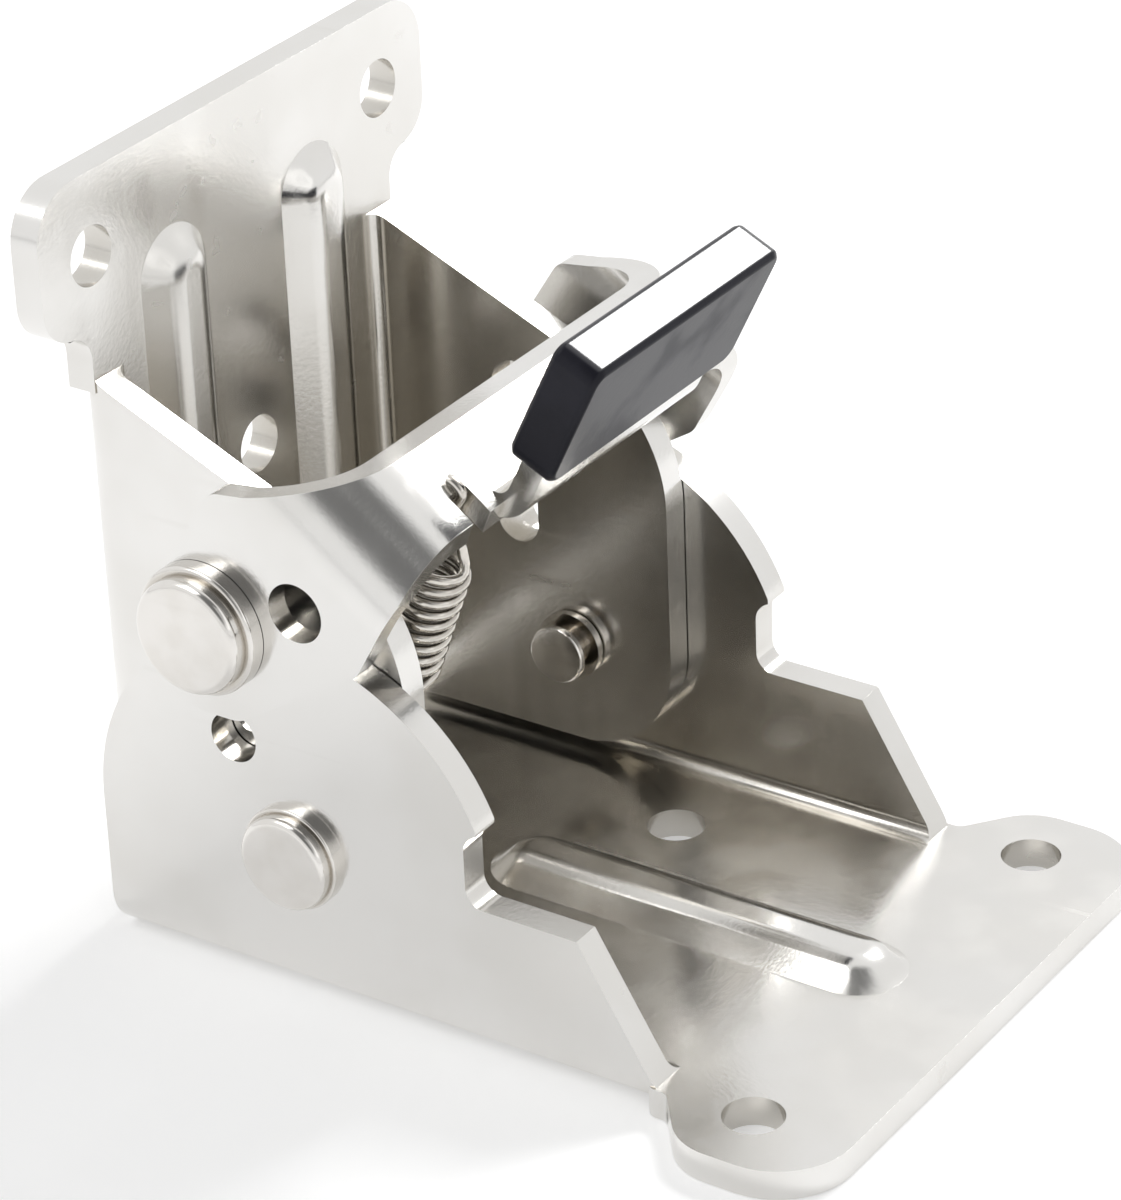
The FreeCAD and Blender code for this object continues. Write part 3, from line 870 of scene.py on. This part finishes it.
@dataclass
class Spring:
    """Tension spring between the near pivot rivet and the lever's web.

    The ring stays on the rivet. The coil and its hook run from the pins to the lever, and their
    lower leg lies over the ring's upright end. A place beside the coil is given as its rise in
    metres, its angle round the coil in degrees and its share of the coil's radius.

    Attributes:
        wire: Radius of the wire.
        slide_fit: How much thicker the coil's wire is, so that its leg covers the ring's upright.
        ring_radius: Radius of the ring round the rivet's groove.
        ring_y: Place of the ring across the bracket.
        ring_start: Angle at which the ring begins, in degrees.
        ring_turn: Angle between two points of the ring, in degrees.
        ring_steps: Number of steps round the ring.
        upright: Height of the ring's upright end above the pivot.
        upright_shares: Places of its points, as shares of that height.
        leg_bottom: Height of the sliding leg's lower end above the pivot.
        leg_top: Height of its upper end.
        coil_y: Place of the coil across the bracket.
        coil_radius: Radius of the coil's centre line.
        coil_start: Distance of the first turn from the pivot.
        coil_length: Length of the turns.
        turns: Number of turns.
        turn_steps: Points in each turn.
        lead_in: Places between the leg and the first turn, with the rise from the first turn.
        lead_out: Place after the last turn, with the rise from the last turn.
        hook: Top of the hook, as forward, across and up from the pivot.
        hook_height: How far the hook stands above the web.
        hook_back: Half of the hook's reach along the web.
        hook_angles: Angles of the hook's points, in degrees.
        stem_room: How far under the web the stem begins.
        stem_shares: Places of its next points, as shares of the web's thickness.
        web: Thickness of the web.
        web_slope: Slope of the web, in radians.
    """

    wire: float = 0.4 * MM
    slide_fit: float = 0.03 * MM
    ring_radius: float = 2.25 * MM
    ring_y: float = -15.25 * MM
    ring_start: int = 60
    ring_turn: int = 15
    ring_steps: int = 20
    upright: float = 8.2 * MM
    upright_shares: Triple = (0.3, 0.65, 1.0)
    leg_bottom: float = 5.4 * MM
    leg_top: float = 9.5 * MM
    coil_y: float = -13.2 * MM
    coil_radius: float = 2.25 * MM
    coil_start: float = 15.0 * MM
    coil_length: float = 10.4 * MM
    turns: int = 9
    turn_steps: int = 16
    lead_in: tuple[Triple, Triple] = ((-2.2 * MM, -50.0, 0.95), (-0.7 * MM, -30.0, 1.0))
    lead_out: Triple = (1.2 * MM, 35.0, 0.7)
    hook: Triple = (11.961 * MM, -14.4 * MM, 30.427 * MM)
    hook_height: float = 0.45 * MM
    hook_back: float = 0.85 * MM
    hook_angles: tuple[int, ...] = (25, 60, 95, 130, 150)
    stem_room: float = 0.5 * MM
    stem_shares: Span = (0.6, 0.2)
    web: float = 2.0 * MM
    web_slope: float = math.radians(36.9)

    def place(self, forward: float, y: float, up: float) -> Vector:
        """Finds a point by its place beside the pivot.

        Args:
            forward: Distance forward of the pivot.
            y: Place across the bracket.
            up: Distance above the pivot.

        Returns:
            The point in row coordinates.
        """
        low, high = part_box("pivot_rivet_near")
        return Vector(((low.x + high.x) / 2 + forward, y, (low.z + high.z) / 2 + up))

    def web_ways(self) -> tuple[Vector, Vector]:
        """Finds the directions of the sloping web.

        Returns:
            Unit vectors out of the web and backward along it.
        """
        sine, cosine = math.sin(self.web_slope), math.cos(self.web_slope)
        return Vector((sine, 0.0, cosine)), Vector((-cosine, 0.0, sine))

    def on_coil(self, rise: float, degrees: float, share: float = 1.0) -> Vector:
        """Finds a point on or beside the coil, whose axis runs from the pivot to the hook's stem.

        Args:
            rise: Distance from the pivot along the coil's axis.
            degrees: Angle round the axis, from its front side.
            share: Share of the coil's radius.

        Returns:
            The point in row coordinates.
        """
        outward = self.web_ways()[0]
        along = (Vector((self.hook[0], 0.0, self.hook[2])) - outward * self.web).normalized()
        front = Vector((along.z, 0.0, -along.x))
        angle = math.radians(degrees)
        spot = self.place(0.0, self.coil_y, 0.0) + along * rise
        spot += front * self.coil_radius * share * math.cos(angle)
        spot.y += self.coil_radius * share * math.sin(angle)
        return spot

    def ring_path(self) -> list[Vector]:
        """Draws the centre line of the ring and its upright end.

        Returns:
            Points of the line.
        """
        points = []
        for step in range(self.ring_steps + 1):
            angle = math.radians(self.ring_start + self.ring_turn * step)
            forward = self.ring_radius * math.cos(angle)
            points.append(self.place(forward, self.ring_y, self.ring_radius * math.sin(angle)))
        for share in self.upright_shares:
            points.append(self.place(self.ring_radius, self.ring_y, self.upright * share))
        return points

    def coil_path(self) -> list[Vector]:
        """Draws the centre line of the sliding leg, the coil and the upper hook.

        Returns:
            Points of the line.
        """
        heights = (self.leg_bottom, (self.leg_bottom + self.leg_top) / 2, self.leg_top)
        points = [self.place(self.ring_radius, self.ring_y, height) for height in heights]
        for rise, degrees, share in self.lead_in:
            points.append(self.on_coil(self.coil_start + rise, degrees, share))
        count = self.turns * self.turn_steps
        for step in range(count + 1):
            rise = self.coil_start + self.coil_length * step / count
            points.append(self.on_coil(rise, 360 * step / self.turn_steps))
        rise, degrees, share = self.lead_out
        points.append(self.on_coil(self.coil_start + self.coil_length + rise, degrees, share))
        return points + self.hook_path()

    def hook_path(self) -> list[Vector]:
        """Draws the centre line of the stem through the web's slot and the hook over the web.

        Returns:
            Points of the line.
        """
        top = self.place(*self.hook)
        outward, back = self.web_ways()
        points = [top - outward * (self.web + self.stem_room)]
        points += [top - outward * self.web * share for share in self.stem_shares]
        for degrees in self.hook_angles:
            angle = math.radians(degrees)
            rise = outward * self.hook_height * math.sin(angle)
            points.append(top + rise + back * self.hook_back * (1 - math.cos(angle)))
        return points

    @staticmethod
    def drawn(name: str, points: list[Vector], radius: float) -> bpy.types.Object:
        """Draws round wire along a smooth line.

        Args:
            name: Name of the piece.
            points: Points that guide the line.
            radius: Radius of the wire.

        Returns:
            The piece, as a mesh at the origin.
        """
        curve = bpy.data.curves.new(f"{name}_line", "CURVE")
        curve.dimensions = "3D"
        curve.resolution_u = 2
        curve.bevel_depth = radius
        curve.bevel_resolution = 3
        curve.use_fill_caps = True
        spline = curve.splines.new("NURBS")
        spline.points.add(len(points) - 1)
        for target, point in zip(spline.points, points):
            target.co = (*point, 1.0)
        spline.use_endpoint_u = True
        spline.order_u = 4
        holder = add_object(f"{name}_line", curve)
        bpy.context.view_layer.update()
        shape = holder.evaluated_get(bpy.context.evaluated_depsgraph_get())
        bm = bmesh.new()
        bm.from_mesh(bpy.data.meshes.new_from_object(shape))
        bmesh.ops.remove_doubles(bm, verts=bm.verts, dist=MERGE_DISTANCE)
        bmesh.ops.recalc_face_normals(bm, faces=bm.faces)
        bpy.data.objects.remove(holder)
        bpy.data.curves.remove(curve)
        piece = link(name, bm)
        smooth(piece)
        return piece

    def build(self, finishes: Finishes) -> None:
        """Builds the ring on the leg bracket's side and the coil.

        Args:
            finishes: Materials.
        """
        ring = self.drawn("spring_ring", self.ring_path(), self.wire)
        dress(ring, finishes.wire, Body.LEG, "lever_spring")
        coil = self.drawn("spring_coil", self.coil_path(), self.wire + self.slide_fit)
        coil.data.materials.append(finishes.wire)
        start = self.place(self.ring_radius, self.ring_y, self.leg_top)
        end = self.on_coil(self.coil_start + self.coil_length, 0.0, 0.0)
        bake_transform(coil)
        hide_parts("lever_spring")
        LOG.info("%s bends from the pins to the lever, %d faces", coil.name, len(coil.data.polygons))


@dataclass
class Rivets:
    """The four rivets, each spun about its own axis, with rounded rims on head and flange.

    A part of a rivet is given by its radius, and where it is a disc also by its height along the
    rivet and by the size of the round on its rim.

    Attributes:
        steps: Faces round a rivet.
        rim_steps: Faces across a rounded rim.
        pivot_shank: Shank in the walls' holes.
        pivot_flange: Foot of the head, on the outer wall.
        pivot_head: Head.
        pivot_collar: Collar on the inner wall.
        pivot_groove: Groove that holds the spring's ring.
        pivot_cap: Cap that keeps the ring in the groove.
        lock_pin: Pin in the slots.
        lock_flange: Foot of the head, on the lever's arm.
        lock_head: Head.
        lock_tail: Tail inside the inner wall.
        crisp: Size of the small rounds.
    """

    steps: int = 96
    rim_steps: int = 8
    pivot_shank: float = 2.0 * MM
    pivot_flange: float = 4.3 * MM
    pivot_flange_height: float = 0.75 * MM
    pivot_head: float = 3.95 * MM
    pivot_head_height: float = 1.9 * MM
    pivot_rim: float = 0.6 * MM
    pivot_collar: float = 2.9 * MM
    pivot_collar_height: float = 0.8 * MM
    pivot_groove: float = 1.7 * MM
    pivot_groove_height: float = 1.3 * MM
    pivot_cap: float = 2.5 * MM
    pivot_cap_height: float = 0.7 * MM
    lock_pin: float = 1.75 * MM
    lock_flange: float = 5.3 * MM
    lock_flange_height: float = 1.4 * MM
    lock_flange_rim: float = 0.35 * MM
    lock_head: float = 4.7 * MM
    lock_head_height: float = 1.4 * MM
    lock_rim: float = 0.7 * MM
    lock_tail: float = 3.0 * MM
    lock_tail_height: float = 1.2 * MM
    lock_tail_rim: float = 0.4 * MM
    crisp: float = 0.2 * MM

    def rim(self, radius: float, top: float, size: float) -> Profile:
        """Rounded outer corner of a disc, from its face to its side.

        Args:
            radius: Radius of the disc.
            top: Distance of its face from the middle of the bracket.
            size: Radius of the round.

        Returns:
            Profile points.
        """
        points = []
        for step in range(self.rim_steps + 1):
            angle = math.pi / 2 * step / self.rim_steps
            points.append((radius - size + size * math.sin(angle), top - size + size * math.cos(angle)))
        return points

    def inner_rim(self, radius: float, bottom: float, size: float) -> Profile:
        """Rounded corner of a disc that faces inward, from its side to its face.

        Args:
            radius: Radius of the disc.
            bottom: Distance of its face from the middle of the bracket.
            size: Radius of the round.

        Returns:
            Profile points.
        """
        return [(across, 2 * bottom - y) for across, y in reversed(self.rim(radius, bottom, size))]

    def lock_profile(self, outer: float, inner: float) -> Profile:
        """Profile of a lock rivet: two-stage head, pin and tail.

        Args:
            outer: Distance of the head's face from the middle of the bracket.
            inner: Distance of the tail's face from it.

        Returns:
            Profile points, from the head to the tail.
        """
        flange = outer - self.lock_head_height
        face = flange - self.lock_flange_height
        tail = inner + self.lock_tail_height
        return [
            (0.0, outer),
            *self.rim(self.lock_head, outer, self.lock_rim),
            (self.lock_head, flange),
            *self.rim(self.lock_flange, flange, self.lock_flange_rim),
            (self.lock_flange, face),
            (self.lock_pin, face),
            (self.lock_pin, tail),
            (self.lock_tail, tail),
            *self.inner_rim(self.lock_tail, inner, self.lock_tail_rim),
            (0.0, inner),
        ]

    def pivot_profile(self, outer: float, inner: float) -> Profile:
        """Profile of a pivot rivet: head, shank, collar, groove for the spring and cap.

        Args:
            outer: Distance of the head's face from the middle of the bracket.
            inner: Distance of the cap's face from it.

        Returns:
            Profile points, from the head to the cap.
        """
        face = outer - self.pivot_head_height
        flange = face + self.pivot_flange_height
        cap = inner + self.pivot_cap_height
        groove = cap + self.pivot_groove_height
        collar = groove + self.pivot_collar_height
        return [
            (0.0, outer),
            *self.rim(self.pivot_head, outer, self.pivot_rim),
            (self.pivot_head, flange),
            *self.rim(self.pivot_flange, flange, self.crisp),
            (self.pivot_flange, face),
            (self.pivot_shank, face),
            (self.pivot_shank, collar),
            *self.rim(self.pivot_collar, collar, self.crisp),
            (self.pivot_collar, groove),
            (self.pivot_groove, groove),
            (self.pivot_groove, cap),
            *self.rim(self.pivot_cap, cap, self.crisp),
            *self.inner_rim(self.pivot_cap, inner, self.crisp),
            (0.0, inner),
        ]

    def build(self, finishes: Finishes) -> None:
        """Builds the pivot rivets and the lock rivets.

        Args:
            finishes: Materials.
        """
        for side in Side:
            for kind, body, slot, shape in (
                ("pivot", Body.TABLE, "rivets", self.pivot_profile),
                ("lock", Body.PINS, "lock_rivets", self.lock_profile),
            ):
                node = f"{kind}_rivet_{side.name.lower()}"
                low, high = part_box(node)
                inner, outer = sorted((abs(low.y), abs(high.y)))
                profile = [(radius, side.value * y) for radius, y in shape(outer, inner)]
                piece = link(f"{node}_metal", spun(profile, (low + high) / 2, self.steps))
                smooth(piece)
                dress(piece, finishes.rivet, body, node)


@dataclass(frozen=True)
class SoftLamp:
    """Square lamp that points at the bracket.

    Attributes:
        name: Lamp name.
        place: Position in metres.
        size: Width in metres.
        power: Power in watts.
        aim: Point that it faces.
    """

    name: str
    place: Triple
    size: float
    power: float
    aim: Triple = (-0.03, 0.0, 0.03)

    def build(self) -> None:
        """Builds the lamp."""
        lamp = bpy.data.lights.new(self.name, "AREA")
        lamp.energy = self.power
        lamp.size = self.size
        turn = (Vector(self.aim) - Vector(self.place)).to_track_quat("-Z", "Y").to_matrix().to_4x4()
        add_object(self.name, lamp).matrix_world = Matrix.Translation(self.place) @ turn


@dataclass
class Studio:
    """Pale floor, soft lamps and a white surround.

    Attributes:
        floor_colour: Colour of the floor.
        floor_half: Half the floor's width.
        floor_gap: How far the floor lies under the bracket, so that their faces don't coincide.
        floor_roughness: Roughness of the floor.
        floor_gloss: Strength of its reflections.
        floor_lift: How much brighter the floor looks to the camera and in reflections.
        surround: Strength of the surround as a light.
        dim_side: Direction of the dimmer side of the surround, which only reflections show.
        dim_span: Closeness to that direction between which it fades in.
        dim_level: Strength of the surround there.
        lamps: The lamps.
    """

    floor_colour: Triple = (0.9, 0.9, 0.9)
    floor_half: float = 3.0
    floor_gap: float = 0.05 * MM
    floor_roughness: float = 0.8
    floor_gloss: float = 0.1
    floor_lift: float = 0.3
    surround: float = 0.42
    dim_side: Triple = (0.42, -0.55, 0.72)
    dim_span: Span = (0.72, 0.93)
    dim_level: float = 0.2
    lamps: tuple[SoftLamp, ...] = (
        SoftLamp(name="side_lamp", place=(-0.35, -0.45, 0.75), size=0.5, power=1.7),
        SoftLamp(name="front_lamp", place=(0.6, -0.25, 0.45), size=0.6, power=0.4),
        SoftLamp(name="back_lamp", place=(0.03, 0.68, 0.70), size=0.34, power=5.2),
    )

    def build(self) -> None:
        """Builds the floor, the world and the lamps."""
        self._floor()
        self._world()
        for lamp in self.lamps:
            lamp.build()

    def _floor(self) -> None:
        """Builds the floor."""
        bm = bmesh.new()
        bmesh.ops.create_grid(bm, x_segments=1, y_segments=1, size=self.floor_half)
        bmesh.ops.translate(bm, verts=bm.verts, vec=(0.0, 0.0, -self.floor_gap))
        floor = link("studio_floor", bm)
        material, kit, shader = blank_material("studio_floor")
        shader.inputs["Base Color"].default_value = rgba(self.floor_colour)
        shader.inputs["Roughness"].default_value = self.floor_roughness
        shader.inputs["Specular IOR Level"].default_value = self.floor_gloss
        shader.inputs["Emission Color"].default_value = rgba(WHITE)
        path = kit.add("ShaderNodeLightPath").outputs
        seen = kit.maths("MAXIMUM", path["Is Camera Ray"], path["Is Glossy Ray"])
        kit.put(kit.maths("MULTIPLY", seen, self.floor_lift), shader.inputs["Emission Strength"])
        floor.data.materials.append(material)

    def _world(self) -> None:
        """Builds the surround: white where it is seen or mirrored, softer as light."""
        world = bpy.data.worlds.new("studio_world")
        world.use_nodes = True
        bpy.context.scene.world = world
        kit = Nodes(world.node_tree)
        path = kit.add("ShaderNodeLightPath").outputs
        seen = kit.maths("MAXIMUM", path["Is Camera Ray"], path["Is Glossy Ray"])
        seen = kit.maths("MAXIMUM", seen, path["Is Transmission Ray"])
        direction = kit.add("ShaderNodeTexCoord").outputs["Generated"]
        towards = kit.facing(direction, Vector(self.dim_side).normalized())
        loss = kit.spread(towards, self.dim_span, (0.0, 1.0 - self.dim_level))
        loss = kit.maths("MULTIPLY", loss, path["Is Glossy Ray"])
        bright = kit.spread(seen, WHOLE, (self.surround, 1.0))
        background = world.node_tree.nodes["Background"].inputs
        background["Color"].default_value = rgba(WHITE)
        kit.put(kit.maths("SUBTRACT", bright, loss), background["Strength"])


@dataclass(frozen=True)
class PhotoCamera:
    """Camera at the photograph's view.

    Attributes:
        eye: Position in metres.
        right: Direction to the right of the picture.
        forward: Direction into the picture.
        lens: Focal length in millimetres.
        sensor: Width of the sensor in millimetres.
        near_limit: Distance in metres from which things are seen.
    """

    eye: Triple = (0.156978, -0.269791, 0.205881)
    right: Triple = (0.83243, 0.55300, -0.03542)
    forward: Triple = (-0.5001, 0.7222, -0.4778)
    lens: float = 156.09
    sensor: float = 36.0
    near_limit: float = 0.01

    def build(self) -> None:
        """Creates the camera."""
        data = bpy.data.cameras.new("photo_camera")
        data.sensor_fit = "HORIZONTAL"
        data.sensor_width = self.sensor
        data.lens = self.lens
        data.clip_start = self.near_limit
        camera = add_object("photo_camera", data)
        back = -Vector(self.forward).normalized()
        up = back.cross(Vector(self.right).normalized()).normalized()
        turn = Matrix((up.cross(back), up, back)).transposed().to_4x4()
        camera.matrix_world = Matrix.Translation(self.eye) @ turn
        bpy.context.scene.camera = camera


def main() -> None:
    """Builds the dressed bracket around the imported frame."""
    logging.basicConfig(level=logging.INFO)
    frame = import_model()
    bpy.context.scene.view_settings.view_transform = "Standard"
    PhotoCamera().build()
    Studio().build()
    finishes = Finishes()
    nodes = frame["nodes"]
    FoldedSheets(nodes).build(finishes)
    Grip(nodes).build(finishes)
    Spring().build(finishes)
    Rivets().build(finishes)
    bpy.context.view_layer.update()


if __name__ == "__main__":
    main()
